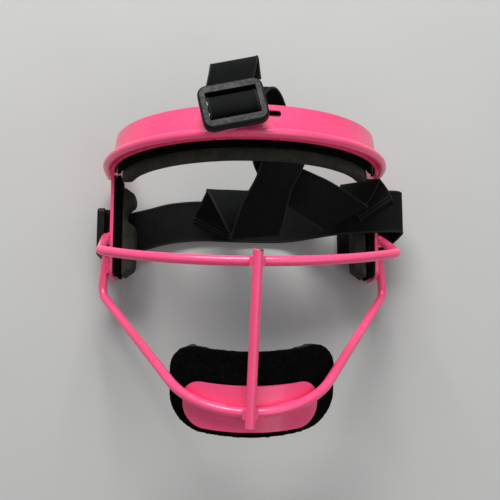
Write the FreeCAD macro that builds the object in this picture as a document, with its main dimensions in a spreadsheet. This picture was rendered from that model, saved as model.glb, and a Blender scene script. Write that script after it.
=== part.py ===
import FreeCAD, Part
import math
import os
import Sketcher
from FreeCAD import Placement, Rotation, Vector

# Softball fielder's face mask lying on its back. Units are millimetres.
# +X is to the right of someone who looks at the mask's front, +Y is towards the top of the head
# and +Z points out of the face. Z = 0 is the plane of the temple plates' rear edges, and the
# Y axis crosses the middle of the head opening.

doc = FreeCAD.newDocument("face_mask")
sheet = doc.addObject("Spreadsheet::Sheet", "Sizes")

SIZES = [
    # steel band: brow band and temple plates in one bent sheet
    ("band_radius", 77.0, "brow bend, to the middle of the sheet at its lower edge"),
    ("sheet_thick", 1.8, "steel sheet with its coating"),
    ("leg_length", 27.5, "straight run from the rear edge to the start of the brow bend"),
    ("brow_low", 41.6, "lower edge of the brow band"),
    ("brow_high", 60.2, "upper edge of the brow band"),
    ("brow_lean", 2.5, "how far the brow band leans inwards at its upper edge"),
    ("plate_low", -19.0, "lower edge of the temple plates"),
    ("plate_front", 31.0, "front edge of the temple plates"),
    ("plate_corner", 7.0, "rounded corners of the temple plates"),
    ("side_slot_middle", 9.0, "height of the middle of the side strap slots"),
    ("side_slot_length", 27.0, "side strap slots"),
    ("side_slot_rear", 3.2, "rear wall of the side slots"),
    ("side_slot_wide", 4.4, "opening of the side slots"),
    ("side_slot_corner", 0.6, "rounded corners of the side slots"),
    ("brow_slot_middle", -5.5, "sideways place of the brow slot"),
    ("brow_slot_length", 40.0, "brow slot"),
    ("brow_slot_low", 53.9, "lower wall of the brow slot"),
    ("brow_slot_wide", 3.4, "opening of the brow slot"),
    ("slot_end", 0.45, "rounded ends of the brow slot, as a share of its opening"),
    # round wires
    ("wire_thick", 5.0, "diameter of the cage wires with their coating"),
    ("weld_gap", 0.05, "gap that the weld fillets bridge"),
    ("brow_wire_height", 44.2, "height of the brow wire's axis"),
    ("brow_wire_rear", 12.0, "rear ends of the brow wire"),
    ("eye_front_height", -21.7, "height of the eye wire at its front"),
    ("eye_front_depth", 115.7, "depth of the eye wire's axis at its front"),
    ("eye_slope", 16.0, "degrees that the eye wire rises towards its rear"),
    ("eye_wire_rear", 22.5, "rear ends of the eye wire"),
    ("eye_arc", 100.0, "front bend of the eye wire"),
    ("eye_corner", 12.0, "side bends of the eye wire"),
    ("eye_arm_lean", 4.0, "degrees that the eye wire's arms lean inwards"),
    ("jaw_flare", 5.1, "how far the jaw wire's upper bends stand out from the plates' faces"),
    ("jaw_bend_height", -27.7, "height of the jaw wire's upper bends"),
    ("jaw_bend_depth", 17.5, "depth of the jaw wire's upper bends"),
    ("jaw_slope", 39.0, "degrees that the jaw wire drops towards the chin"),
    ("jaw_reach", 104.0, "from the upper bends to the middle of the chin"),
    ("chin_arc", 46.0, "chin bend of the jaw wire"),
    ("jaw_top", -6.0, "upper ends of the jaw wire"),
    ("jaw_top_depth", 21.0, "depth of the jaw wire's upper ends"),
    ("jaw_corner", 9.0, "upper bends of the jaw wire"),
    ("centre_over", 6.3, "centre wire beyond the eye wire"),
    ("centre_under", 5.9, "centre wire beyond the jaw wire"),
    ("centre_lean", 2.8, "sideways lean of the centre wire from end to end"),
    # chin plate and pads
    ("chin_slope", 15.0, "degrees that the chin plate leans out at its top"),
    ("chin_plate_high", 22.8, "height of the chin plate"),
    ("chin_plate_shift", 0.7, "chin plate's middle above the jaw wire"),
    ("chin_plate_half", 34.0, "half of the chin plate's width"),
    ("chin_plate_corner", 10.0, "rounded corners of the chin plate"),
    ("chin_pad_high", 43.4, "height of the chin pad"),
    ("chin_pad_shift", 7.0, "chin pad's middle above the jaw wire"),
    ("chin_pad_offset", 2.0, "sideways place of the chin pad"),
    ("chin_pad_half", 43.0, "half of the chin pad's width"),
    ("chin_wrap", 48.0, "degrees each way that the chin pieces follow the chin bend"),
    ("chin_pad_corner", 15.0, "rounded corners of the chin pad"),
    ("chin_loop_thick", 2.6, "looped face of the chin pad"),
    ("chin_foam_thick", 9.0, "foam of the chin pad"),
    ("tape_thick", 1.0, "hook tape"),
    ("pad_gap", 0.35, "between hook tape and pad, and between pads and straps"),
    ("backing_thick", 2.8, "looped backing of the brow and temple pads"),
    ("layer_gap", 0.05, "between glued layers"),
    ("brow_foam_thick", 9.0, "foam of the brow pad"),
    ("brow_foam_low", 32.0, "lower edge of the brow foam"),
    ("brow_foam_high", 59.0, "upper edge of the brow foam"),
    ("brow_backing_low", 38.0, "lower edge of the brow pad's backing"),
    ("brow_backing_high", 52.8, "upper edge of the brow pad's backing"),
    ("brow_tape_angle", 178.0, "degrees that the hook tape reaches round the brow"),
    ("brow_pad_angle", 152.0, "degrees that the brow pad reaches round the brow"),
    ("brow_pad_turn", 3.5, "degrees that the brow pad is turned towards the left"),
    ("temple_pad_low", -18.5, "lower edge of the temple pads"),
    ("temple_pad_high", 34.6, "upper edge of the temple pads"),
    ("temple_backing_high", 41.0, "upper edge of the temple pads' backing"),
    ("temple_pad_rear", 9.0, "rear face of the temple pads"),
    ("temple_pad_inset", 1.0, "front face of the temple pads behind the plates' front edge"),
    ("temple_foam_thick", 3.0, "flat part of the temple foam"),
    ("lobe_thick", 5.6, "moulded lobes of the temple foam"),
    ("lobe_edge", 1.0, "edge of the temple foam beyond its lobes"),
    ("lobe_slope", 3.5, "sloping ends of the lobes"),
    ("upper_lobe_long", 13.0, "upper lobe along the pad"),
    ("lower_lobe_long", 32.0, "lower lobe along the pad"),
    # straps and buckles
    ("strap_wide", 25.0, "elastic webbing"),
    ("strap_thick", 1.5, "elastic webbing"),
    ("side_buckle_long", 28.4, "side buckle along the plate's height"),
    ("side_buckle_deep", 19.0, "side buckle from rear to front"),
    ("side_buckle_thick", 4.2, "side buckle's end bars"),
    ("side_buckle_rear", 2.2, "rear end of the side buckle"),
    ("top_buckle_long", 33.0, "top buckle across the strap"),
    ("top_buckle_high", 24.5, "top buckle along the strap"),
    ("top_buckle_thick", 4.2, "top buckle"),
    ("top_buckle_tilt", 12.0, "degrees that the top buckle is turned"),
    ("top_buckle_lean", 12.0, "degrees that the top buckle leans back at its upper end"),
    ("top_buckle_end", 4.4, "end bars of the top buckle"),
    ("side_buckle_end", 3.2, "end bars of the side buckle"),
    ("buckle_window", 25.7, "strap window of both buckles"),
    ("buckle_bar", 2.4, "side buckle's bar, which the strap wraps"),
    ("top_buckle_bar", 4.0, "top buckle's bar, which the strap wraps"),
    ("buckle_rim", 1.3, "rounding of the buckles' outer rims"),
    ("thread_thick", 0.5, "sewn thread bars"),
    ("buckle_corner", 5.0, "rounded corners of the buckles"),
]

for row, (name, value, note) in enumerate(SIZES, start=1):
    sheet.set(f"A{row}", name)
    sheet.set(f"B{row}", str(value))
    sheet.set(f"C{row}", note)
    sheet.setAlias(f"B{row}", name)
doc.recompute()


def size(name):
    return float(getattr(sheet, name))


def value_of(expression):
    """Number that an expression over the sheet gives."""
    result = sheet.evalExpression(expression)
    return float(getattr(result, "Value", result))


def full(expression):
    """Expression with the sheet's name before each of its sizes, for use in another object."""
    names = sorted((name for name, _, _ in SIZES), key=len, reverse=True)
    for name in names:
        expression = expression.replace(name, f"@{names.index(name)}@")
    for index, name in enumerate(names):
        expression = expression.replace(f"@{index}@", f"Sizes.{name}")
    return expression


# ---------------------------------------------------------------- sketch helpers

def new_body(label, base=Vector(0, 0, 0), rotation=Rotation()):
    body = doc.addObject("PartDesign::Body", label)
    body.Label = label
    body.Placement = Placement(base, rotation)
    return body


def new_sketch(body, name, plane, offset="0"):
    """Empty sketch on one of the body's own origin planes, moved along the plane's normal."""
    sketch = body.newObject("Sketcher::SketchObject", name)
    support = [item for item in body.Origin.OriginFeatures if item.Role == plane][0]
    sketch.AttachmentSupport = [(support, "")]
    sketch.MapMode = "FlatFace"
    if offset != "0":
        sketch.setExpression("AttachmentOffset.Base.z", full(offset))
    return sketch


def pin(sketch, geometry, point, place):
    """Holds one end of a line or arc at a place given by two expressions."""
    for kind, expression in zip(("DistanceX", "DistanceY"), place):
        start = value_of(expression)
        index = sketch.addConstraint(Sketcher.Constraint(kind, -1, 1, geometry, point, start))
        sketch.setExpression(f"Constraints[{index}]", full(expression))


def flat(place):
    return Vector(value_of(place[0]), value_of(place[1]), 0)


def draw_polygon(sketch, corners):
    """Closed straight-sided outline through corners given by expressions."""
    points = [flat(corner) for corner in corners]
    count = len(points)
    first = sketch.GeometryCount
    for index in range(count):
        sketch.addGeometry(Part.LineSegment(points[index], points[(index + 1) % count]), False)
    for index in range(count):
        following = first + (index + 1) % count
        sketch.addConstraint(Sketcher.Constraint("Coincident", first + index, 2, following, 1))
        pin(sketch, first + index, 1, corners[index])


def draw_box(sketch, low_x, high_x, low_y, high_y):
    draw_polygon(sketch, [(low_x, low_y), (high_x, low_y), (high_x, high_y), (low_x, high_y)])


def hold_radius(sketch, geometry, radius):
    index = sketch.addConstraint(Sketcher.Constraint("Radius", geometry, value_of(radius)))
    sketch.setExpression(f"Constraints[{index}]", full(radius))


def draw_outline(sketch, steps):
    """Closed outline of lines and arcs. Each step is a corner and how the outline leaves it:
    None for a straight line, or (centre, radius, counter-clockwise) for an arc."""
    first = sketch.GeometryCount
    count = len(steps)
    ends = []
    for index, (corner, bend) in enumerate(steps):
        start = flat(corner)
        end = flat(steps[(index + 1) % count][0])
        if bend is None:
            sketch.addGeometry(Part.LineSegment(start, end), False)
            ends.append((1, 2))
            continue
        centre, radius, forward = bend
        middle = flat(centre)
        angles = [math.atan2(point.y - middle.y, point.x - middle.x) for point in (start, end)]
        if not forward:
            angles.reverse()
        circle = Part.Circle(middle, Vector(0, 0, 1), value_of(radius))
        sketch.addGeometry(Part.ArcOfCircle(circle, angles[0], angles[1]), False)
        ends.append((1, 2) if forward else (2, 1))
    for index in range(count):
        following = (index + 1) % count
        joint = Sketcher.Constraint("Coincident", first + index, ends[index][1],
                                    first + following, ends[following][0])
        sketch.addConstraint(joint)
        pin(sketch, first + index, ends[index][0], steps[index][0])
    for index, (_, bend) in enumerate(steps):
        if bend is not None:
            hold_radius(sketch, first + index, bend[1])


def draw_rounded_box(sketch, low_x, high_x, low_y, high_y, corner):
    """Rectangle with four equal rounded corners, drawn counter-clockwise."""
    left, right = f"{low_x} + {corner}", f"{high_x} - {corner}"
    bottom, top = f"{low_y} + {corner}", f"{high_y} - {corner}"
    draw_outline(sketch, [
        ((left, low_y), None),
        ((right, low_y), ((right, bottom), corner, True)),
        ((high_x, bottom), None),
        ((high_x, top), ((right, top), corner, True)),
        ((right, high_y), None),
        ((left, high_y), ((left, top), corner, True)),
        ((low_x, top), None),
        ((low_x, bottom), ((left, bottom), corner, True)),
    ])


def draw_circle(sketch, middle, radius):
    circle = Part.Circle(flat(middle), Vector(0, 0, 1), value_of(radius))
    index = sketch.addGeometry(circle, False)
    pin(sketch, index, 3, middle)
    hold_radius(sketch, index, radius)


def pad(body, sketch, length, name, reverse=False, both_ways=False):
    feature = body.newObject("PartDesign::Pad", name)
    feature.Profile = sketch
    feature.Midplane = both_ways
    feature.Reversed = reverse
    feature.setExpression("Length", full(length))
    body.Tip = feature
    return feature


def pocket_through(body, sketch, name):
    feature = body.newObject("PartDesign::Pocket", name)
    feature.Profile = sketch
    feature.Type = "ThroughAll"
    feature.Midplane = True
    body.Tip = feature
    return feature


def revolve_about_height(body, sketch, degrees, name):
    """Turns a profile in the YZ plane about the body's Y axis, the same amount each way."""
    feature = body.newObject("PartDesign::Revolution", name)
    feature.Profile = sketch
    axis = [item for item in body.Origin.OriginFeatures if item.Role == "Y_Axis"][0]
    feature.ReferenceAxis = (axis, [""])
    feature.Midplane = True
    feature.setExpression("Angle", full(degrees))
    body.Tip = feature
    return feature


def round_edges(body, radius, chosen, name):
    """Fillets the edges of the body's tip that the test chooses."""
    doc.recompute()
    base = body.Tip
    edges = [f"Edge{number}" for number, edge in enumerate(base.Shape.Edges, start=1) if chosen(edge)]
    feature = body.newObject("PartDesign::Fillet", name)
    feature.Base = (base, edges)
    feature.setExpression("Radius", full(radius))
    body.Tip = feature
    return feature


def straight_along(edge, direction):
    if not isinstance(edge.Curve, Part.Line):
        return False
    return abs(abs(edge.Curve.Direction.dot(direction)) - 1) < 1e-6


parts = {}


def keep(label, thing):
    thing.Label = label
    parts[label] = thing
    return thing


def computed(label, shape):
    """A piece whose shape is worked out from the sheet because no feature makes it."""
    feature = doc.addObject("Part::Feature", label)
    feature.Shape = shape
    feature.Placement = Placement()
    return keep(label, feature)


# ---------------------------------------------------------------- steel frame

BROW_AXIS = Vector(0, 0, size("leg_length"))
X_AXIS = Vector(1, 0, 0)
Y_AXIS = Vector(0, 1, 0)
Z_AXIS = Vector(0, 0, 1)


def leaning(radius, height):
    """Expression for a radius on the leaning brow band, at a height."""
    return f"{radius} - brow_lean * ({height} - brow_low) / (brow_high - brow_low)"


def leaning_profile(inner, outer, low, high, swap=False, side=1):
    """Corners of a leaning strip, as (height, radius), or (radius, height) when swapped."""
    corners = [
        (low, leaning(inner, low)),
        (low, leaning(outer, low)),
        (high, leaning(outer, high)),
        (high, leaning(inner, high)),
    ]
    if not swap:
        return corners
    sign = "" if side > 0 else "-1 * "
    return [(f"{sign}({radius})", height) for height, radius in corners]


def make_frame_band():
    """Brow band, its two straight legs and the two temple plates, all one sheet."""
    body = new_body("frame_band", BROW_AXIS)
    inner = "band_radius - sheet_thick / 2"
    outer = "band_radius + sheet_thick / 2"
    brow = new_sketch(body, "brow_section", "YZ_Plane")
    draw_polygon(brow, leaning_profile(inner, outer, "brow_low", "brow_high"))
    revolve_about_height(body, brow, "180", "brow_bend")
    for side, name in ((1, "right"), (-1, "left")):
        leg = new_sketch(body, f"{name}_leg_section", "XY_Plane")
        draw_polygon(leg, leaning_profile(inner, outer, "brow_low", "brow_high", True, side))
        pad(body, leg, "leg_length", f"{name}_leg", reverse=True)
        plate = new_sketch(body, f"{name}_plate_outline", "XY_Plane", "-1 * leg_length")
        sign = "" if side > 0 else "-1 * "
        draw_polygon(plate, [
            (f"{sign}({inner})", "plate_low"),
            (f"{sign}({outer})", "plate_low"),
            (f"{sign}({outer})", "brow_low"),
            (f"{sign}({inner})", "brow_low"),
        ])
        pad(body, plate, "plate_front", f"{name}_plate")

    def lower_corner(edge):
        middle = edge.CenterOfMass
        low = abs(middle.y - size("plate_low")) < 0.01
        return low and straight_along(edge, X_AXIS)

    round_edges(body, "plate_corner", lower_corner, "plate_corners")
    side_slot = new_sketch(body, "side_slot_outline", "YZ_Plane")
    rear = "side_slot_rear - leg_length"
    draw_rounded_box(
        side_slot,
        "side_slot_middle - side_slot_length / 2",
        "side_slot_middle + side_slot_length / 2",
        rear,
        f"{rear} + side_slot_wide",
        "side_slot_corner",
    )
    pocket_through(body, side_slot, "side_slots")
    brow_slot = new_sketch(body, "brow_slot_outline", "XY_Plane")
    draw_rounded_box(
        brow_slot,
        "brow_slot_middle - brow_slot_length / 2",
        "brow_slot_middle + brow_slot_length / 2",
        "brow_slot_low",
        "brow_slot_low + brow_slot_wide",
        "slot_end * brow_slot_wide",
    )
    pocket_through(body, brow_slot, "brow_slot")
    return keep("frame_band", body)


def plate_outer():
    return "band_radius + sheet_thick / 2"


def wire_pipe(body, spine, start, plane, offset):
    """Round wire along a flat spine, from a circle at its start."""
    section = new_sketch(body, "wire_section", plane, offset)
    draw_circle(section, start, "wire_thick / 2")
    feature = body.newObject("PartDesign::AdditivePipe", "wire")
    feature.Profile = section
    feature.Spine = (spine, [f"Edge{number + 1}" for number in range(spine.GeometryCount)])
    body.Tip = feature
    return feature


def make_brow_wire():
    """U-shaped wire against the outer face of the brow band."""
    body = new_body("brow_wire", BROW_AXIS + Y_AXIS * size("brow_wire_height"))
    at_height = leaning(plate_outer(), "brow_wire_height")
    radius = f"{at_height} + wire_thick / 2 + weld_gap"
    rear = "brow_wire_rear - leg_length"
    spine = new_sketch(body, "brow_wire_path", "XZ_Plane")
    reach = value_of(radius)
    back = value_of(rear)
    spine.addGeometry(Part.LineSegment(Vector(reach, back, 0), Vector(reach, 0, 0)), False)
    arc = Part.ArcOfCircle(Part.Circle(Vector(0, 0, 0), Vector(0, 0, 1), reach), 0, math.pi)
    spine.addGeometry(arc, False)
    spine.addGeometry(Part.LineSegment(Vector(-reach, 0, 0), Vector(-reach, back, 0)), False)
    pin(spine, 0, 1, (radius, rear))
    pin(spine, 0, 2, (radius, "0"))
    pin(spine, 2, 2, (f"-1 * ({radius})", rear))
    pin(spine, 2, 1, (f"-1 * ({radius})", "0"))
    spine.addConstraint(Sketcher.Constraint("Coincident", 0, 2, 1, 1))
    spine.addConstraint(Sketcher.Constraint("Coincident", 1, 2, 2, 1))
    spine.addConstraint(Sketcher.Constraint("PointOnObject", 1, 3, -1))
    wire_pipe(body, spine, (radius, "0"), "XY_Plane", rear)
    return keep("brow_wire", body)


def eye_root_height():
    run = size("eye_front_depth") - size("eye_wire_rear")
    return size("eye_front_height") + run * math.tan(math.radians(size("eye_slope")))


def make_eye_wire():
    """Wire in a sloping plane: two arms on the temple plates, two side bends and a front bend."""
    root = Vector(0, eye_root_height(), size("eye_wire_rear"))
    body = new_body("eye_wire", root, Rotation(X_AXIS, size("eye_slope")))
    clear_of_plate = "(plate_front - eye_wire_rear) * tan(eye_arm_lean)"
    half = f"{plate_outer()} + wire_thick / 2 + weld_gap + {clear_of_plate}"
    reach = "(eye_front_depth - eye_wire_rear) / cos(eye_slope)"
    arc = value_of("eye_arc")
    corner = value_of("eye_corner")
    lean = math.radians(value_of("eye_arm_lean"))
    start = Vector(value_of(half), 0, 0)
    along = Vector(-math.sin(lean), math.cos(lean), 0)
    inward = Vector(-math.cos(lean), -math.sin(lean), 0)
    centre = Vector(0, value_of(reach) - arc, 0)
    # the side bend's centre lies on a line beside the arm, at arc - corner from the front's centre
    base = start + inward * corner - centre
    along_base = base.dot(along)
    run = -along_base + math.sqrt(along_base ** 2 - base.dot(base) + (arc - corner) ** 2)
    bend = start + inward * corner + along * run
    arm_end = bend - inward * corner
    join = centre + (bend - centre).normalize() * arc
    spine = new_sketch(body, "eye_wire_path", "XZ_Plane")
    up = Vector(0, 0, 1)
    mirror_x = [Vector(-item.x, item.y, 0) for item in (start, arm_end, bend, join)]
    join_angle = math.atan2(join.y - centre.y, join.x)
    bend_from = math.atan2(arm_end.y - bend.y, arm_end.x - bend.x)
    bend_to = math.atan2(join.y - bend.y, join.x - bend.x)
    spine.addGeometry(Part.LineSegment(start, arm_end), False)
    spine.addGeometry(Part.ArcOfCircle(Part.Circle(bend, up, corner), bend_from, bend_to), False)
    spine.addGeometry(
        Part.ArcOfCircle(Part.Circle(centre, up, arc), join_angle, math.pi - join_angle), False)
    spine.addGeometry(
        Part.ArcOfCircle(Part.Circle(mirror_x[2], up, corner), math.pi - bend_to,
                         math.pi - bend_from), False)
    spine.addGeometry(Part.LineSegment(mirror_x[1], mirror_x[0]), False)
    for first in range(4):
        spine.addConstraint(Sketcher.Constraint("Tangent", first, 2, first + 1, 1))
    pin(spine, 0, 1, (half, "0"))
    pin(spine, 4, 2, (f"-1 * ({half})", "0"))
    pin(spine, 2, 3, ("0", f"{reach} - eye_arc"))
    hold_radius(spine, 1, "eye_corner")
    hold_radius(spine, 2, "eye_arc")
    index = spine.addConstraint(Sketcher.Constraint("Angle", -1, 1, 0, 1, math.pi / 2 + lean))
    spine.setExpression(f"Constraints[{index}]", full("90 + eye_arm_lean"))
    spine.addConstraint(Sketcher.Constraint("Symmetric", 0, 2, 4, 1, -2))
    wire_pipe(body, spine, (half, "0"), "XY_Plane", "0")
    return keep("eye_wire", body)


JAW_ANGLE = math.radians(size("jaw_slope"))
JAW_OUT = Vector(0, -math.sin(JAW_ANGLE), math.cos(JAW_ANGLE))
JAW_ROOT = Vector(0, size("jaw_bend_height"), size("jaw_bend_depth"))
CHIN_ANGLE = math.radians(size("chin_slope"))
CHIN_OUT = Vector(0, -math.sin(CHIN_ANGLE), math.cos(CHIN_ANGLE))
CHIN_UP = Vector(0, math.cos(CHIN_ANGLE), math.sin(CHIN_ANGLE))
CHIN_FRONT = JAW_ROOT + JAW_OUT * size("jaw_reach")


def jaw_place(sideways, outward):
    return JAW_ROOT + X_AXIS * sideways + JAW_OUT * outward


def rounded_corner(before, corner, after, radius):
    """Two tangent points and the middle point of the arc that rounds a corner."""
    one = (before - corner).normalize()
    two = (after - corner).normalize()
    half = one.getAngle(two) / 2
    run = radius / math.tan(half)
    inside = corner + (one + two).normalize() * (radius / math.sin(half) - radius)
    return corner + one * run, inside, corner + two * run


def make_jaw_wire():
    """Wire that leaves the temple plates, turns and sweeps round the chin in a sloping plane."""
    half_width = value_of(f"{plate_outer()} + jaw_flare")
    arc = size("chin_arc")
    to_centre = size("jaw_reach") - arc
    distance = math.hypot(half_width, to_centre)
    turn = math.atan2(to_centre, -half_width) - math.asin(arc / distance)
    run = math.sqrt(distance ** 2 - arc ** 2)
    tangent_x = half_width + run * math.cos(turn)
    tangent_out = run * math.sin(turn)
    top_x = value_of(f"{plate_outer()} + wire_thick / 2 + weld_gap")

    def side(sign):
        top = Vector(sign * top_x, size("jaw_top"), size("jaw_top_depth"))
        corner = jaw_place(sign * half_width, 0)
        tangent = jaw_place(sign * tangent_x, tangent_out)
        start, inside, end = rounded_corner(top, corner, tangent, size("jaw_corner"))
        return [Part.LineSegment(top, start).toShape(), Part.Arc(start, inside, end).toShape(),
                Part.LineSegment(end, tangent).toShape()], tangent

    right, right_tangent = side(1)
    left, left_tangent = side(-1)
    chin = Part.Arc(right_tangent, jaw_place(0, size("jaw_reach")), left_tangent).toShape()
    path = Part.Wire(Part.__sortEdges__(right + [chin] + left))
    top = Vector(top_x, size("jaw_top"), size("jaw_top_depth"))
    heading = (jaw_place(half_width, 0) - top).normalize()
    circle = Part.Circle(top, heading, size("wire_thick") / 2)
    section = Part.Wire([circle.toShape()])
    return computed("jaw_wire", path.makePipeShell([section], True, True))


def centre_wire_ends():
    """Axis ends of the centre wire, which lies in front of the eye wire and the jaw wire."""
    eye = Vector(0, size("eye_front_height"), size("eye_front_depth"))
    jaw = jaw_place(0, size("jaw_reach"))
    along = (jaw - eye).normalize()
    forward = X_AXIS.cross(along).normalize()
    if forward.z < 0:
        forward = forward * -1
    lift = forward * (size("wire_thick") + size("weld_gap"))
    sideways = X_AXIS * (size("centre_lean") / 2)
    top = eye + lift - along * size("centre_over") + sideways
    bottom = jaw + lift + along * size("centre_under") - sideways
    return top, bottom, forward


def make_centre_wire():
    top, bottom, _ = centre_wire_ends()
    rod = doc.addObject("Part::Cylinder", "centre_rod")
    rod.setExpression("Radius", "Sizes.wire_thick / 2")
    rod.Height = (top - bottom).Length
    rod.Placement = Placement(bottom, Rotation(Z_AXIS, top - bottom))
    doc.recompute()
    ends = doc.addObject("Part::Chamfer", "centre_wire")
    ends.Base = rod
    ends.Edges = [(1, 0.5, 0.5), (3, 0.5, 0.5)]
    rod.Visibility = False
    return keep("centre_wire", ends)


def chin_body(label):
    """Body whose Y axis runs up the chin plate and whose Z axis points out over the chin, with
    its origin at the middle of the plate's bend."""
    rotation = Rotation(X_AXIS, CHIN_UP, CHIN_OUT, "XYZ")
    return new_body(label, CHIN_FRONT - CHIN_OUT * size("chin_arc"), rotation)


def make_chin_strip(label, inner, outer, wrap, high, shift, half, corner, offset="0"):
    """Strip behind the chin bend: an arc that wraps so many degrees each way, then straight
    ends, trimmed to a rounded outline as seen from the front."""
    body = chin_body(label)
    section = new_sketch(body, f"{label}_section", "XZ_Plane")
    sine, cosine = f"sin({wrap})", f"cos({wrap})"
    tail = f"(({half}) + 4 - ({outer}) * {sine}) / {cosine}"

    def on_arc(radius, sign):
        return f"{sign} * ({radius}) * {sine}", f"({radius}) * {cosine}"

    def at_end(radius, sign):
        sideways = f"{sign} * (({radius}) * {sine} + {tail} * {cosine})"
        return sideways, f"({radius}) * {cosine} - {tail} * {sine}"

    middle = ("0", "0")
    draw_outline(section, [
        (at_end(outer, 1), None),
        (on_arc(outer, 1), (middle, outer, True)),
        (on_arc(outer, -1), None),
        (at_end(outer, -1), None),
        (at_end(inner, -1), None),
        (on_arc(inner, -1), (middle, inner, False)),
        (on_arc(inner, 1), None),
        (at_end(inner, 1), None),
    ])
    pad(body, section, f"2 * ({high})", f"{label}_bend", both_ways=True)
    outline = new_sketch(body, f"{label}_outline", "XY_Plane")
    draw_box(outline, "-3 * band_radius", "3 * band_radius", "-3 * band_radius", "3 * band_radius")
    draw_rounded_box(outline, f"{offset} - ({half})", f"{offset} + ({half})",
                     f"{shift} - ({high}) / 2", f"{shift} + ({high}) / 2", corner)
    pocket_through(body, outline, f"{label}_trim")
    return keep(label, body)


# weld fillets, as shares of the wire's thickness
WELD_RADIUS = 0.36
SMALL_WELD_RADIUS = 0.2
END_WELD_RADIUS = 0.25
CROSSING_WELD_LONG = 0.9
WELD_LONG = 1.8
WELD_SIDE = 0.42
CHIN_WELD_DEPTH = 0.4
CHIN_WELD_SIDE = 0.3
CHIN_WELD_TURN = 22
EYE_WELD_BACK = 5
END_WELD_OUT = 0.2
JAW_WELD_DOWN = 1.1


def make_welds(frame_parts):
    """Weld fillets, cut to the metal they join."""
    metal = [item.Shape for item in frame_parts]
    wire = size("wire_thick")
    eye = Vector(0, size("eye_front_height"), size("eye_front_depth"))
    jaw = jaw_place(0, size("jaw_reach"))
    top, bottom, forward = centre_wire_ends()
    along = (top - bottom).normalize()

    def bead(place, axis, length, radius):
        return Part.makeCylinder(radius, length, place - axis * (length / 2), axis)

    def trimmed(solids, cutters):
        kept = []
        for solid in solids:
            piece = solid.cut(cutters)
            kept += [item for item in piece.Solids if item.Volume > 1.0]
        return Part.makeCompound(kept)

    crossings = []
    for place in (eye, jaw):
        centre = place + forward * (wire / 2)
        side = (bottom - top).normalize()
        share = (place - top).dot(side) / (bottom - top).Length
        centre.x = top.x + (bottom.x - top.x) * share
        for sign in (1, -1):
            offset = X_AXIS * (sign * wire * WELD_SIDE)
            crossings.append(bead(centre + offset, along, wire * CROSSING_WELD_LONG, wire * WELD_RADIUS))
    chin_arc = size("chin_arc")
    for sign in (1, -1):
        for lift in (1, -1):
            turn = math.radians(CHIN_WELD_TURN)
            drop = chin_arc - chin_arc * math.cos(turn)
            spot = jaw_place(sign * chin_arc * math.sin(turn), size("jaw_reach") - drop)
            tangent = X_AXIS * math.cos(turn) - JAW_OUT * (sign * math.sin(turn))
            spot = spot - CHIN_OUT * (wire * CHIN_WELD_DEPTH) + CHIN_UP * (lift * wire * CHIN_WELD_SIDE)
            crossings.append(bead(spot, tangent, wire * WELD_LONG, wire * SMALL_WELD_RADIUS))
    computed("cage_welds", trimmed(crossings, metal))

    temples = []
    face = value_of(plate_outer())
    slope = math.radians(size("eye_slope"))
    eye_back = Vector(0, -math.sin(slope), math.cos(slope))
    eye_root = Vector(0, eye_root_height(), size("eye_wire_rear"))
    for sign in (1, -1):
        eye_spot = eye_root + eye_back * EYE_WELD_BACK + X_AXIS * (sign * (face + wire * END_WELD_OUT))
        for lift in (1, -1):
            side = eye_back.cross(X_AXIS).normalize() * (lift * wire * WELD_SIDE)
            temples.append(bead(eye_spot + side, eye_back, wire * WELD_LONG, wire * END_WELD_RADIUS))
        jaw_spot = Vector(sign * (face + wire * END_WELD_OUT), size("jaw_top") - wire * JAW_WELD_DOWN,
                          size("jaw_top_depth"))
        for lift in (1, -1):
            side = Z_AXIS * (lift * wire * WELD_SIDE)
            temples.append(bead(jaw_spot + side, Y_AXIS, wire * WELD_LONG, wire * END_WELD_RADIUS))
    computed("temple_welds", trimmed(temples, metal))


# ---------------------------------------------------------------- hook tape and pads

def make_leaning_strip(label, inner, outer, low, high, degrees, turn="0", edge_radius=None):
    """Strip that follows the inside of the brow band, with the band's lean."""
    body = new_body(label, BROW_AXIS, Rotation(Y_AXIS, -value_of(turn)))
    section = new_sketch(body, f"{label}_section", "YZ_Plane")
    draw_polygon(section, leaning_profile(inner, outer, low, high))
    revolve_about_height(body, section, degrees, f"{label}_bend")
    if edge_radius is not None:
        inner_low = value_of(leaning(inner, low))
        inner_high = value_of(leaning(inner, high))

        def rim(edge):
            if not isinstance(edge.Curve, Part.Circle):
                return False
            return min(abs(edge.Curve.Radius - inner_low), abs(edge.Curve.Radius - inner_high)) < 0.01

        round_edges(body, edge_radius, rim, f"{label}_rims")
    return keep(label, body)


TAPE_FACE = "band_radius - sheet_thick / 2 - layer_gap"
BACKING_FACE = f"{TAPE_FACE} - tape_thick - pad_gap"
FOAM_FACE = f"{BACKING_FACE} - backing_thick - layer_gap"


def make_brow_pad():
    make_leaning_strip("brow_hook_tape", f"{TAPE_FACE} - tape_thick", TAPE_FACE,
                       "brow_low + 0.6", "brow_backing_high - 0.4", "brow_tape_angle")
    make_leaning_strip("brow_pad_backing", f"{BACKING_FACE} - backing_thick", BACKING_FACE,
                       "brow_backing_low", "brow_backing_high", "brow_pad_angle", "brow_pad_turn")
    make_leaning_strip("brow_pad_foam", f"{FOAM_FACE} - brow_foam_thick", FOAM_FACE,
                       "brow_foam_low", "brow_foam_high", "brow_pad_angle", "brow_pad_turn",
                       "brow_foam_thick / 3")


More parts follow.
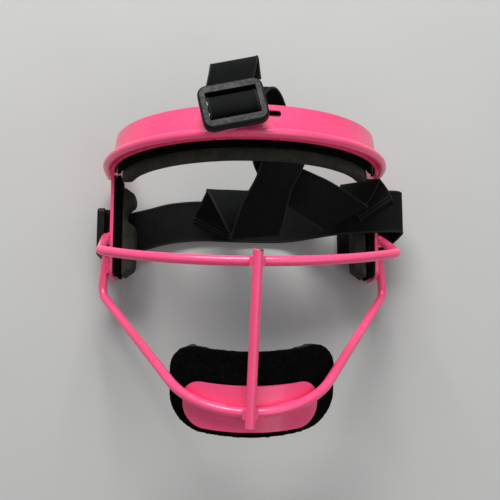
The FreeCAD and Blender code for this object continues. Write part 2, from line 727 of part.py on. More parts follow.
def make_temple_pad(name, side):
    """Hook tape on the plate, and a pad of backing and foam with two moulded lobes."""
    sign = "" if side > 0 else "-1 * "

    def outline(label, inner, outer, low, high, rear, front):
        body = new_body(label)
        sketch = new_sketch(body, f"{label}_outline", "XY_Plane", rear)
        draw_box(sketch, f"{sign}({inner})", f"{sign}({outer})", low, high)
        pad(body, sketch, f"({front}) - ({rear})", f"{label}_sheet")
        return body

    tape = outline(f"temple_hook_tape_{name}", f"{TAPE_FACE} - tape_thick", TAPE_FACE,
                   "temple_pad_low + 2", "temple_backing_high - 0.4", "temple_pad_rear + 1",
                   "plate_front - temple_pad_inset")
    keep(f"temple_hook_tape_{name}", tape)
    backing = outline(f"temple_pad_{name}_backing", f"{BACKING_FACE} - backing_thick", BACKING_FACE,
                      "temple_pad_low", "temple_backing_high", "temple_pad_rear",
                      "plate_front - temple_pad_inset + 0.6")
    keep(f"temple_pad_{name}_backing", backing)
    label = f"temple_pad_{name}_foam"
    foam = outline(label, f"{FOAM_FACE} - temple_foam_thick", FOAM_FACE,
                   "temple_pad_low", "temple_pad_high", "temple_pad_rear", "plate_front - temple_pad_inset")
    face = f"{FOAM_FACE} - temple_foam_thick"
    lobes = new_sketch(foam, f"{label}_lobes", "XY_Plane", "temple_pad_rear + 1.5")
    high = "temple_pad_high"
    low = "temple_pad_low"
    spans = [
        (f"{high} - lobe_edge - upper_lobe_long", f"{high} - lobe_edge"),
        (f"{low} + lobe_edge", f"{low} + lobe_edge + lower_lobe_long"),
    ]
    for bottom, top in spans:
        draw_polygon(lobes, [
            (f"{sign}({face})", bottom),
            (f"{sign}({face})", top),
            (f"{sign}({face} - lobe_thick)", f"{top} - lobe_slope"),
            (f"{sign}({face} - lobe_thick)", f"{bottom} + lobe_slope"),
        ])
    pad(foam, lobes, "plate_front - temple_pad_inset - temple_pad_rear - 3", f"{label}_lobe_bodies")
    keep(label, foam)


def make_chin_set():
    plate_outer_face = "chin_arc - wire_thick / 2 - weld_gap"
    plate_inner = f"{plate_outer_face} - sheet_thick"
    tape_outer = f"{plate_inner} - layer_gap"
    loop_outer = f"{tape_outer} - tape_thick - pad_gap"
    foam_outer = f"{loop_outer} - chin_loop_thick - layer_gap"
    plate = make_chin_strip("chin_plate", plate_inner, plate_outer_face, "chin_wrap",
                            "chin_plate_high", "chin_plate_shift", "chin_plate_half",
                            "chin_plate_corner")
    make_chin_strip("chin_hook_tape", f"{tape_outer} - tape_thick", tape_outer, "chin_wrap",
                    "chin_plate_high - 6", "chin_plate_shift", "chin_plate_half - 7", "4")
    make_chin_strip("chin_pad_loop", f"{loop_outer} - chin_loop_thick", loop_outer, "chin_wrap",
                    "chin_pad_high", "chin_pad_shift", "chin_pad_half", "chin_pad_corner",
                    "chin_pad_offset")
    make_chin_strip("chin_pad_foam", f"{foam_outer} - chin_foam_thick", foam_outer, "chin_wrap",
                    "chin_pad_high - 1", "chin_pad_shift", "chin_pad_half - 0.5",
                    "chin_pad_corner", "chin_pad_offset")
    return plate


# ---------------------------------------------------------------- webbing

def ribbon(stations, thick):
    """Closed flat strap through stations, each a pair of points on its two edges."""
    rings = []
    count = len(stations)
    middles = [(one + other) * 0.5 for one, other in stations]
    for index, (one, other) in enumerate(stations):
        along = middles[min(index + 1, count - 1)] - middles[max(index - 1, 0)]
        normal = along.cross(other - one).normalize() * (thick / 2)
        rings.append([one - normal, other - normal, other + normal, one + normal])
    faces = []

    def triangle(one, two, three):
        faces.append(Part.Face(Part.makePolygon([one, two, three, one])))

    for first, second in zip(rings, rings[1:]):
        for corner in range(4):
            following = (corner + 1) % 4
            triangle(first[corner], first[following], second[following])
            triangle(first[corner], second[following], second[corner])
    for ring in (rings[0], rings[-1]):
        triangle(ring[0], ring[1], ring[2])
        triangle(ring[0], ring[2], ring[3])
    solid = Part.makeSolid(Part.makeShell(faces))
    if solid.Volume < 0:
        solid.reverse()
    return solid


def across(middles, direction):
    """Stations of a strap of full width whose width lies along one direction."""
    half = direction * (size("strap_wide") / 2)
    return [(middle - half, middle + half) for middle in middles]


def turned_about(centre, radius, start, end, steps, height):
    """Points of a bend in the XZ plane, from one angle to another in degrees."""
    points = []
    for step in range(steps + 1):
        angle = math.radians(start + (end - start) * step / steps)
        points.append(Vector(centre.x + radius * math.cos(angle), height,
                             centre.z + radius * math.sin(angle)))
    return points


# The straps lie loose. Their places are given for the usual head size, with the plates' front
# edge as the zero of depth in front of it, and stretch with the band.
USUAL_RADIUS = 77.0
USUAL_FRONT = 31.0
HEAD_SCALE = size("band_radius") / USUAL_RADIUS
PLATE_FRONT = size("plate_front")
SLOT_HEIGHT = size("side_slot_middle")
PLATE_FACE = value_of(plate_outer())
STRAP_THICK = size("strap_thick")
STRAP_GAP = size("pad_gap")
SLOT_REAR = size("side_slot_rear")
LOWER_LAYER = SLOT_REAR + STRAP_GAP + STRAP_THICK / 2
UPPER_LAYER = SLOT_REAR + size("side_slot_wide") - STRAP_GAP - STRAP_THICK / 2
BAR_RADIUS = size("buckle_bar") / 2
WRAP_RADIUS = BAR_RADIUS + STRAP_GAP + STRAP_THICK / 2
SIDE_BAR = Vector(-(PLATE_FACE + STRAP_GAP + STRAP_THICK / 2 + WRAP_RADIUS),
                  SLOT_HEIGHT, size("side_buckle_rear") + size("side_buckle_deep") / 2)
OVER_PLATE = PLATE_FRONT + STRAP_GAP + STRAP_THICK


def lie(x, y, z):
    """A place on a loose strap."""
    if z < USUAL_FRONT:
        depth = z * PLATE_FRONT / USUAL_FRONT
    else:
        depth = PLATE_FRONT + (z - USUAL_FRONT) * HEAD_SCALE
    return Vector(x * HEAD_SCALE, y, depth)


def lying(rows):
    """Stations of a loose strap from rows of two places on its edges."""
    return [(lie(*one), lie(*other)) for one, other in rows]


def make_rear_strap():
    """From its tail through the left slot, round the side buckle's bar, back through the slot,
    across the rear, over the front edge of the right plate, round it and in through its slot."""
    inner_leg = SIDE_BAR.x + WRAP_RADIUS
    outer_leg = inner_leg - STRAP_THICK - size("weld_gap") - STRAP_GAP
    start = [
        Vector(-62 * HEAD_SCALE, SLOT_HEIGHT - 2, LOWER_LAYER),
        Vector(-72 * HEAD_SCALE, SLOT_HEIGHT - 1, LOWER_LAYER),
        Vector(inner_leg - 0.6, SLOT_HEIGHT, LOWER_LAYER),
        Vector(outer_leg + 0.3, SLOT_HEIGHT, LOWER_LAYER + 0.7),
        Vector(outer_leg, SLOT_HEIGHT, LOWER_LAYER + 2.4),
        Vector(outer_leg - 0.4, SLOT_HEIGHT, SIDE_BAR.z - 4.6),
        Vector(SIDE_BAR.x - WRAP_RADIUS + 0.2, SLOT_HEIGHT, SIDE_BAR.z - 2.2),
    ]
    start += turned_about(SIDE_BAR, WRAP_RADIUS, 180, 0, 6, SLOT_HEIGHT)
    start += [
        Vector(inner_leg, SLOT_HEIGHT, SIDE_BAR.z - 3),
        Vector(inner_leg, SLOT_HEIGHT, UPPER_LAYER + 1.8),
        Vector(inner_leg + 0.5, SLOT_HEIGHT, UPPER_LAYER + 0.5),
        Vector(inner_leg + 1.9, SLOT_HEIGHT, UPPER_LAYER),
        Vector(-70 * HEAD_SCALE, SLOT_HEIGHT + 1, UPPER_LAYER),
    ]
    loose = [
        lie(-58, SLOT_HEIGHT + 4, 6.0),
        lie(-44, SLOT_HEIGHT + 8, 4.4),
        lie(-26, SLOT_HEIGHT + 10, 3.0),
        lie(-4, SLOT_HEIGHT + 9.6, 2.6),
        lie(18, SLOT_HEIGHT + 9.4, 2.6),
        lie(29, SLOT_HEIGHT + 9.6, 5.5),
        lie(39, SLOT_HEIGHT + 9.8, 14),
        lie(47, SLOT_HEIGHT + 9.8, 23.5),
    ]
    over = [
        Vector(53.5 * HEAD_SCALE, SLOT_HEIGHT + 9.8, PLATE_FRONT - 0.7),
        Vector(58.5 * HEAD_SCALE, SLOT_HEIGHT + 10, OVER_PLATE),
        Vector(66 * HEAD_SCALE, SLOT_HEIGHT + 10.6, OVER_PLATE),
        Vector(PLATE_FACE + 6, SLOT_HEIGHT + 11.4, OVER_PLATE),
        Vector(PLATE_FACE + 10.6, SLOT_HEIGHT + 11.6, OVER_PLATE - 0.9),
        Vector(PLATE_FACE + 14, SLOT_HEIGHT + 11.6, OVER_PLATE - 3.2),
    ]
    back = [
        Vector(PLATE_FACE + 15, SLOT_HEIGHT + 11, PLATE_FRONT - 4),
        Vector(PLATE_FACE + 12.6, SLOT_HEIGHT + 8, PLATE_FRONT * 0.7),
        Vector(PLATE_FACE + 8.1, SLOT_HEIGHT + 4, UPPER_LAYER + 6),
        Vector(PLATE_FACE + 4.5, SLOT_HEIGHT + 1.5, UPPER_LAYER + 1.6),
        Vector(PLATE_FACE + 1.7, SLOT_HEIGHT + 0.4, UPPER_LAYER - 0.5),
        Vector(PLATE_FACE - 2.9, SLOT_HEIGHT, UPPER_LAYER - 0.8),
        Vector(68 * HEAD_SCALE, SLOT_HEIGHT + 0.5, UPPER_LAYER - 0.9),
        Vector(58 * HEAD_SCALE, SLOT_HEIGHT + 1.5, UPPER_LAYER - 0.9),
    ]
    stations = across(start + loose + over + back, Y_AXIS)
    return computed("rear_strap", ribbon(stations, STRAP_THICK))


TOP_BUCKLE_MIDDLE = Vector(-10.3, size("brow_slot_low") + 2.6,
                           size("leg_length") + PLATE_FACE + 7.6)


def top_buckle_turn():
    turn = Rotation(Z_AXIS, size("top_buckle_tilt"))
    return turn.multiply(Rotation(X_AXIS, -size("top_buckle_lean")))


def make_top_strap():
    """From its folded tail down through the top buckle, in through the brow slot, over the top
    of the brow pad, down behind it, folded up and down again and sewn to the rear strap."""
    turn = top_buckle_turn()
    slot = size("brow_slot_low") + size("brow_slot_wide") / 2
    face = size("leg_length") + PLATE_FACE
    # (sideways, along the strap, out of the face) from the middle of the buckle, in its own frame
    at_buckle = [
        (6.0, 17.6, -10.2),
        (6.4, 22.4, -9.4),
        (6.6, 25.6, -7.2),
        (6.4, 26.6, -4.4),
        (5.8, 25.2, -2.0),
        (4.6, 21.6, -1.6),
        (2.4, 16.6, -3.0),
        (0.4, 12.0, -4.1),
        (0, 8.4, -4.0),
        (0, 6.4, -3.0),
        (0, 5.8, -1.0),
        (0, 4.6, 0.9),
        (0, 2.6, 2.2),
        (0, 0, 2.7),
        (0, -2.6, 2.2),
        (0, -4.6, 0.9),
        (0, -5.8, -1.2),
        (0, -6.2, -3.2),
        (0, -5.8, -5.0),
        (0, -4.4, -6.3),
    ]
    middles = [TOP_BUCKLE_MIDDLE + turn.multVec(Vector(*place)) for place in at_buckle]
    stations = across(middles, turn.multVec(X_AXIS))
    # the band's face leans away from the buckle's side of the slot
    along_band = Vector(0.993, 0, 0.12)
    stations += across([
        Vector(-9.2, slot - 0.9, face - 0.2),
        Vector(-9, slot, face - 1.6),
        Vector(-8.9, slot, face - 5.6),
        Vector(-8.8, slot + 1, face - 6.8),
        Vector(-8.4, slot + 3.2, face - 7.3),
        Vector(-7.6, slot + 6.9, face - 7.8),
        Vector(-5.5, slot + 11.4, face - 8.8),
    ], along_band)
    behind = size("brow_foam_high")
    stations += across([
        Vector(-2.6, behind + 12.6, face - 11.2),
        Vector(1, behind + 14.6, face - 16.4),
        Vector(4.5, behind + 13.2, face - 23),
        Vector(8, behind + 8, face - 30),
        Vector(13, behind - 1, face - 36),
    ], X_AXIS)
    stations += lying([
        ((7.5, 47.5, 66.0), (33.0, 45.5, 66.5)),
        ((6.5, 39.5, 63.0), (31.0, 39.6, 63.5)),
        ((4.0, 32.5, 59.5), (28.5, 34.0, 60.0)),
        ((0.0, 25.5, 55.5), (25.0, 27.5, 56.0)),
        ((-3.5, 19.0, 52.0), (23.2, 20.5, 52.5)),
        ((-6.2, 11.5, 49.0), (21.5, 12.0, 49.5)),
        ((-8.8, 2.8, 46.5), (19.6, 5.6, 46.5)),
        # folded up behind itself
        ((-9.6, 1.2, 45.3), (19.2, 3.8, 45.3)),
        ((-8.9, 2.8, 43.9), (19.6, 5.6, 43.9)),
        ((-12.2, 9.5, 41.6), (15.6, 11.8, 41.6)),
        ((-15.5, 16.5, 39.4), (11.4, 18.0, 39.4)),
        ((-18.8, 23.5, 36.9), (7.2, 24.0, 36.9)),
        # folded down again
        ((-22.0, 30.2, 34.2), (2.6, 29.6, 34.2)),
        ((-22.8, 31.8, 32.9), (2.0, 31.2, 32.9)),
        ((-22.9, 30.6, 31.4), (1.4, 29.4, 31.4)),
        ((-24.6, 28.6, 24.0), (-1.0, 24.6, 24.0)),
        ((-27.0, 25.4, 14.5), (-3.6, 17.2, 14.5)),
        ((-29.6, 22.0, 8.0), (-6.8, 11.2, 7.6)),
        ((-30.8, 20.0, 6.2), (-8.4, 8.4, 6.0)),
    ])
    return computed("top_strap", ribbon(stations, STRAP_THICK))


def on_rear_strap(x, y, above=0.0):
    """Place in the middle of a strap that lies on the rear strap where it crosses the plate."""
    return Vector(x * HEAD_SCALE, y, OVER_PLATE + STRAP_THICK + size("layer_gap") + above)


def make_side_leg():
    """Second strap from behind the brow pad, folded up and down again and sewn to the rear
    strap where it crosses the right plate."""
    top = [
        ((1.0, 49.0, 61.0), (26.6, 46.0, 61.0)),
        ((3.4, 40.0, 57.5), (28.2, 40.6, 57.5)),
        ((8.6, 31.0, 54.0), (36.4, 37.6, 54.0)),
        ((16.8, 23.5, 51.0), (45.8, 34.2, 51.0)),
        ((25.6, 17.2, 48.0), (54.6, 30.0, 48.0)),
        ((34.0, 12.0, 45.2), (62.6, 25.6, 45.2)),
        ((41.4, 8.4, 42.6), (69.2, 22.4, 42.6)),
        # folded up behind itself
        ((42.6, 7.4, 41.3), (70.4, 21.2, 41.3)),
        ((42.2, 8.8, 39.9), (69.8, 22.6, 39.9)),
        ((49.2, 22.0, 38.6), (74.4, 29.2, 38.6)),
    ]
    # folded down again, on the rear strap
    end = [
        (on_rear_strap(54.6, 33.2, 2.6), on_rear_strap(78.6, 37.4, 2.6)),
        (on_rear_strap(55.2, 34.6, 1.4), on_rear_strap(79.2, 38.8, 1.4)),
        (on_rear_strap(56.0, 33.4, 0.2), on_rear_strap(80.4, 37.8, 0.2)),
        (on_rear_strap(61.2, 24.2), on_rear_strap(84.0, 32.6)),
        (on_rear_strap(67.4, 13.2), on_rear_strap(86.8, 26.6)),
    ]
    return computed("side_leg", ribbon(lying(top) + end, STRAP_THICK))


def make_stitching():
    """Two sewn thread bars across the side leg's end."""
    thick = size("thread_thick")
    one, other = on_rear_strap(67.4, 13.2), on_rear_strap(86.8, 26.6)
    seam = (other - one).normalize()
    inward = Z_AXIS.cross(seam).normalize()
    lift = Z_AXIS * (STRAP_THICK / 2 + thick / 2 + size("layer_gap"))
    long = (other - one).Length - 3
    bars = []
    for row in (1.8, 4.0):
        start = (one + other) * 0.5 + inward * row + lift - seam * (long / 2)
        bar = Part.makeBox(long, thick, thick, Vector(0, -thick / 2, -thick / 2))
        bar.Placement = Placement(start, Rotation(Z_AXIS, math.degrees(X_AXIS.getAngle(seam))))
        bars.append(bar)
    computed("strap_stitching", Part.makeCompound(bars))


# ---------------------------------------------------------------- buckles

def make_side_buckle():
    """Slide buckle on the outer face of the left plate, its bar along the plate's height."""
    body = new_body("side_buckle", Vector(SIDE_BAR.x, SLOT_HEIGHT, SIDE_BAR.z))
    half = "side_buckle_long / 2"
    deep = "side_buckle_deep / 2"
    window = "buckle_window / 2 - 0.2"
    outline = new_sketch(body, "side_buckle_outline", "YZ_Plane", "-1 * buckle_bar / 2")
    draw_box(outline, f"-1 * {half}", half, f"-1 * {deep}", deep)
    pad(body, outline, "side_buckle_thick", "side_buckle_block", reverse=True)

    def outer_corner(edge):
        return straight_along(edge, X_AXIS)

    def outer_rim(edge):
        face = -(size("buckle_bar") / 2 + size("side_buckle_thick"))
        return edge.CenterOfMass.x < face + size("side_buckle_thick") / 2 and not outer_corner(edge)

    round_edges(body, "buckle_corner / 2", outer_corner, "side_buckle_corners")
    round_edges(body, "buckle_rim", outer_rim, "side_buckle_rims")
    opening = new_sketch(body, "side_buckle_window", "YZ_Plane")
    draw_box(opening, f"-1 * ({window})", window,
             f"-1 * {deep} + side_buckle_end", f"{deep} - side_buckle_end")
    pocket_through(body, opening, "side_buckle_opening")
    rails = new_sketch(body, "side_buckle_rails", "YZ_Plane", "buckle_bar / 2")
    for sign in ("", "-1 * "):
        draw_box(rails, f"{sign}({window})", f"{sign}({half})", "-2.4", "2.4")
    pad(body, rails, "buckle_bar", "side_buckle_rail_blocks", reverse=True)
    bar = new_sketch(body, "side_buckle_bar_section", "XZ_Plane")
    draw_circle(bar, ("0", "0"), "buckle_bar / 2")
    pad(body, bar, "2 * (buckle_window / 2 + 0.2)", "side_buckle_bar", both_ways=True)
    return keep("side_buckle", body)


def make_top_buckle():
    """Slide buckle on the brow, its centre bar across the strap."""
    body = new_body("top_buckle", TOP_BUCKLE_MIDDLE, top_buckle_turn())
    half = "top_buckle_long / 2"
    high = "top_buckle_high / 2"
    window = "buckle_window / 2"
    outline = new_sketch(body, "top_buckle_outline", "XY_Plane")
    draw_box(outline, f"-1 * {half}", half, f"-1 * {high}", high)
    pad(body, outline, "top_buckle_thick", "top_buckle_block", both_ways=True)
    thick = size("top_buckle_thick")

    def corner(edge):
        return abs(edge.Length - thick) < 0.01

    def rim(edge):
        return abs(edge.CenterOfMass.z - thick / 2) < 0.01

    round_edges(body, "buckle_corner", corner, "top_buckle_corners")
    round_edges(body, "buckle_rim", rim, "top_buckle_rims")
    opening = new_sketch(body, "top_buckle_window", "XY_Plane")
    draw_box(opening, f"-1 * {window}", window,
             f"-1 * {high} + top_buckle_end", f"{high} - top_buckle_end")
    pocket_through(body, opening, "top_buckle_opening")
    bar = new_sketch(body, "top_buckle_bar_section", "YZ_Plane")
    draw_circle(bar, ("0", "-0.6"), "top_buckle_bar / 2")
    pad(body, bar, "buckle_window + 1", "top_buckle_bar_rod", both_ways=True)
    return keep("top_buckle", body)


# ---------------------------------------------------------------- build and write

frame_band = make_frame_band()
brow_wire = make_brow_wire()
eye_wire = make_eye_wire()
jaw_wire = make_jaw_wire()
centre_wire = make_centre_wire()
chin_plate = make_chin_set()
doc.recompute()
make_welds([frame_band, brow_wire, eye_wire, jaw_wire, centre_wire, chin_plate])
make_brow_pad()
make_temple_pad("right", 1)
make_temple_pad("left", -1)
make_side_buckle()
make_top_buckle()
make_rear_strap()
make_top_strap()
make_side_leg()
make_stitching()
doc.recompute()

failed = [item.Name for item in doc.Objects if "Invalid" in item.State or "Error" in item.State]
if failed:
    raise RuntimeError(f"objects that failed: {failed}")
for label, thing in parts.items():
    if thing.Shape.isNull() or not thing.Shape.isValid():
        raise RuntimeError(f"{label} has no valid shape")

os.makedirs("parts", exist_ok=True)
for label, thing in parts.items():
    thing.Shape.exportStep(f"parts/{label}.step")
    print(f"{label}: {thing.Shape.Volume:.0f} mm3, {len(thing.Shape.Solids)} solid(s)")
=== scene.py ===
import math

import bmesh
import bpy
from mathutils import Matrix, Vector
from mathutils import noise as field


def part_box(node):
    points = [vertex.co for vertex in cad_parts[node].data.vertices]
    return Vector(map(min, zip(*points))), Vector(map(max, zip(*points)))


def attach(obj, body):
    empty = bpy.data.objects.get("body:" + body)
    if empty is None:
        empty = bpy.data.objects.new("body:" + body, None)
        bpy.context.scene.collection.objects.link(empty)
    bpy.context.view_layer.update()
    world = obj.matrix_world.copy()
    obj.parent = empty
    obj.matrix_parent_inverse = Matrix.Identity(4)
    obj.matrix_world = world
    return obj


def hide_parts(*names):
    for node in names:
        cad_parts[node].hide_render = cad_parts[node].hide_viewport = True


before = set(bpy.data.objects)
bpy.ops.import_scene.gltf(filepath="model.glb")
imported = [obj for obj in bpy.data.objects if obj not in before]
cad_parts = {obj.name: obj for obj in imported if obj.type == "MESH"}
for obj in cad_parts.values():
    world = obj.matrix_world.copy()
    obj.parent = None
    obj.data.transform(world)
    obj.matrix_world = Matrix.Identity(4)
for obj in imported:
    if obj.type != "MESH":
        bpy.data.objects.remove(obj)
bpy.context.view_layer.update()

# Fielder's face mask lying on its back, in the CAD frame: metres, +Z out of the face, +Y to the
# top of the head, floor at Z = 0. Lengths below that are written in millimetres go through mm().


def mm(*values):
    if len(values) == 1:
        return values[0] / 1000
    return Vector([value / 1000 for value in values])


# ---------------------------------------------------------------- camera, light and floor

SENSOR_WIDTH = 36
LENS = 59.8
CAMERA_PITCH = 9.0
CAMERA_YAW = 3.4
CAMERA_PLACE = (-25.3, -78.2, 504.9)
LIGHTS_AIM = Vector((0, -0.01, 0.06))


def add_camera():
    data = bpy.data.cameras.new("camera")
    data.sensor_width = SENSOR_WIDTH
    data.lens = LENS
    camera = bpy.data.objects.new("camera", data)
    bpy.context.collection.objects.link(camera)
    pitch = math.radians(CAMERA_PITCH)
    yaw = math.radians(CAMERA_YAW)
    right = Vector((math.cos(yaw), 0, math.sin(yaw)))
    back = Vector((-math.cos(pitch) * math.sin(yaw), -math.sin(pitch),
                   math.cos(pitch) * math.cos(yaw)))
    up = back.cross(right)
    turn = Matrix((right, up, back)).transposed()
    camera.matrix_world = Matrix.Translation(mm(*CAMERA_PLACE)) @ turn.to_4x4()
    bpy.context.scene.camera = camera


def add_area_light(name, place, size, power):
    data = bpy.data.lights.new(name, "AREA")
    data.shape = "RECTANGLE"
    data.size, data.size_y = size
    data.energy = power
    light = bpy.data.objects.new(name, data)
    bpy.context.collection.objects.link(light)
    light.location = place
    light.rotation_euler = (LIGHTS_AIM - Vector(place)).to_track_quat("-Z", "Y").to_euler()


def add_lights():
    add_area_light("key", (-0.15, 0.95, 0.90), (0.8, 0.4), 19.5)
    add_area_light("fill", (0.6, -0.4, 1.1), (1.0, 1.0), 3)
    world = bpy.data.worlds.new("studio")
    bpy.context.scene.world = world
    bpy.context.scene.view_settings.view_transform = "Standard"
    world.use_nodes = True
    shade = world.node_tree.nodes["Background"]
    shade.inputs["Color"].default_value = (0.93, 0.95, 0.98, 1)
    shade.inputs["Strength"].default_value = 0.33


# ---------------------------------------------------------------- materials

class Finish:
    """A node material under construction. Textures use object coordinates, in metres."""

    def __init__(self, name, colour, roughness, **settings):
        self.material = bpy.data.materials.new(name)
        self.material.use_nodes = True
        self.tree = self.material.node_tree
        self.shader = self.tree.nodes["Principled BSDF"]
        self.place = self.tree.nodes.new("ShaderNodeTexCoord").outputs["Object"]
        self.shader.inputs["Base Color"].default_value = (*colour, 1)
        self.shader.inputs["Roughness"].default_value = roughness
        for socket, value in settings.items():
            self.shader.inputs[socket.replace("_", " ")].default_value = value

    def node(self, kind, inputs=(), **settings):
        node = self.tree.nodes.new(kind)
        for key, value in settings.items():
            setattr(node, key, value)
        for key, value in dict(inputs).items():
            if isinstance(value, bpy.types.NodeSocket):
                self.tree.links.new(value, node.inputs[key])
            else:
                node.inputs[key].default_value = value
        return node

    def noise(self, size, detail=3.0, roughness=0.55, stretch=None):
        """Noise whose features are about so many millimetres across."""
        place = self.place
        if stretch is not None:
            place = self.node("ShaderNodeMapping", {"Vector": place, "Scale": stretch}).outputs["Vector"]
        node = self.node("ShaderNodeTexNoise", {
            "Vector": place, "Scale": 1000 / size, "Detail": detail, "Roughness": roughness})
        return node.outputs["Fac"]

    def cells(self, size, feature="F1"):
        node = self.node("ShaderNodeTexVoronoi", {"Vector": self.place, "Scale": 1000 / size},
                         feature=feature)
        return node.outputs["Distance"]

    def math(self, operation, one, two=0.0, clamp=False):
        return self.node("ShaderNodeMath", {0: one, 1: two}, operation=operation,
                         use_clamp=clamp).outputs[0]

    def step(self, value, low, high, to_low=0.0, to_high=1.0):
        """Value taken from one range to another, held at both ends."""
        node = self.node("ShaderNodeMapRange", {
            "Value": value, "From Min": low, "From Max": high, "To Min": to_low, "To Max": to_high},
            interpolation_type="SMOOTHSTEP")
        return node.outputs["Result"]

    def mix(self, factor, one, two):
        node = self.node("ShaderNodeMix", data_type="RGBA")
        for index, value in ((0, factor), (6, one), (7, two)):
            if isinstance(value, bpy.types.NodeSocket):
                self.tree.links.new(value, node.inputs[index])
            else:
                node.inputs[index].default_value = value if index == 0 else (*value, 1)
        return node.outputs[2]

    def colour(self, value):
        self.tree.links.new(value, self.shader.inputs["Base Color"])

    def roughness(self, value):
        self.tree.links.new(value, self.shader.inputs["Roughness"])

    def metallic(self, value):
        self.tree.links.new(value, self.shader.inputs["Metallic"])

    def bumps(self, *heights):
        """Each is (value, distance in millimetres, strength)."""
        normal = None
        for value, distance, strength in heights:
            inputs = {"Height": value, "Distance": mm(distance), "Strength": strength}
            if normal is not None:
                inputs["Normal"] = normal
            normal = self.node("ShaderNodeBump", inputs).outputs["Normal"]
        self.tree.links.new(normal, self.shader.inputs["Normal"])


def powder_coat(name="powder_coat", chip_at=None):
    """Glossy pink powder coat with orange peel, faint dust and, at one place, a bare chip."""
    pink = (0.93, 0.080, 0.225)
    finish = Finish(name, pink, 0.3, Coat_Weight=0.25, Coat_Roughness=0.12)
    blotch = finish.step(finish.noise(26, 2.0), 0.35, 0.7)
    tone = finish.mix(blotch, pink, (0.90, 0.072, 0.208))
    dust = finish.step(finish.noise(9, 5.0, 0.7), 0.58, 0.8, 0.0, 0.2)
    tone = finish.mix(dust, tone, (0.80, 0.15, 0.27))
    scratches = finish.noise(0.9, 2.0, 0.5, stretch=(0.08, 1.0, 1.0))
    scratch = finish.step(scratches, 0.70, 0.76, 0.0, 0.2)
    tone = finish.mix(scratch, tone, (0.95, 0.24, 0.36))
    rough = finish.step(finish.noise(4, 4.0), 0.3, 0.75, 0.24, 0.42)
    if chip_at is not None:
        away = finish.node("ShaderNodeVectorMath", {0: finish.place, 1: chip_at},
                           operation="DISTANCE").outputs["Value"]
        ragged = finish.math("ADD", away, finish.math("MULTIPLY", finish.noise(1.6, 4.0, 0.7), 0.0022))
        bare = finish.step(ragged, mm(3.3), mm(3.5), 1.0, 0.0)
        tone = finish.mix(bare, tone, (0.20, 0.17, 0.16))
        finish.metallic(finish.math("MULTIPLY", bare, 0.85))
        rough = finish.math("ADD", rough, finish.math("MULTIPLY", bare, 0.12), clamp=True)
    finish.colour(tone)
    finish.roughness(rough)
    finish.bumps((finish.noise(1.3, 2.0), 0.04, 0.2), (finish.noise(6, 2.0), 0.12, 0.15))
    return finish.material


def buckle_plastic():
    finish = Finish("buckle_plastic", (0.005, 0.005, 0.0055), 0.4, Specular_IOR_Level=0.16)
    haze = finish.step(finish.noise(7, 4.0), 0.4, 0.75)
    finish.colour(finish.mix(haze, (0.004, 0.004, 0.0044), (0.009, 0.009, 0.0095)))
    finish.roughness(finish.step(finish.noise(2.2, 4.0), 0.3, 0.7, 0.34, 0.5))
    finish.bumps((finish.noise(0.35, 2.0), 0.02, 0.5), (finish.noise(5, 2.0), 0.15, 0.2))
    return finish.material


def hook_tape():
    """Woven tape with small moulded hooks in rows."""
    finish = Finish("hook_tape", (0.012, 0.012, 0.013), 0.7, Specular_IOR_Level=0.15)
    hooks = finish.step(finish.cells(1.1), 0.1, 0.5)
    finish.colour(finish.mix(hooks, (0.014, 0.014, 0.015), (0.003, 0.003, 0.003)))
    finish.bumps((hooks, 0.5, 0.9))
    return finish.material


def loop_pile():
    """Matted napped loops."""
    deep = (0.0006, 0.0006, 0.0006)
    lit = (0.0085, 0.0085, 0.0085)
    finish = Finish("loop_pile", deep, 0.95, Specular_IOR_Level=0.03)
    tufts = finish.noise(0.8, 5.0, 0.75)
    matting = finish.noise(5.5, 3.0, 0.6)
    shade = finish.math("MULTIPLY", finish.step(tufts, 0.35, 0.72),
                        finish.step(matting, 0.2, 0.8, 0.4, 1.0))
    finish.colour(finish.mix(shade, deep, lit))
    finish.bumps((matting, 1.2, 0.5), (tufts, 0.6, 0.95), (finish.noise(0.25, 2.0), 0.2, 0.6))
    return finish.material


def moulded_foam():
    """Closed-cell foam with a soft skin, mottled by handling."""
    finish = Finish("moulded_foam", (0.021, 0.020, 0.017), 0.8, Specular_IOR_Level=0.12)
    mottle = finish.step(finish.noise(8, 5.0, 0.65), 0.3, 0.72)
    tone = finish.mix(mottle, (0.021, 0.021, 0.0165), (0.038, 0.037, 0.030))
    # painted shade: the pores are painted darker at the cell centres, where the bump below sinks them
    # into pits
    pores = finish.step(finish.cells(0.7), 0.0, 0.35)
    finish.colour(finish.mix(pores, (0.010, 0.010, 0.008), tone))
    finish.roughness(finish.step(finish.noise(3, 4.0), 0.3, 0.7, 0.62, 0.82))
    finish.bumps((mottle, 0.5, 0.25), (finish.cells(0.7), 0.12, 0.6))
    return finish.material


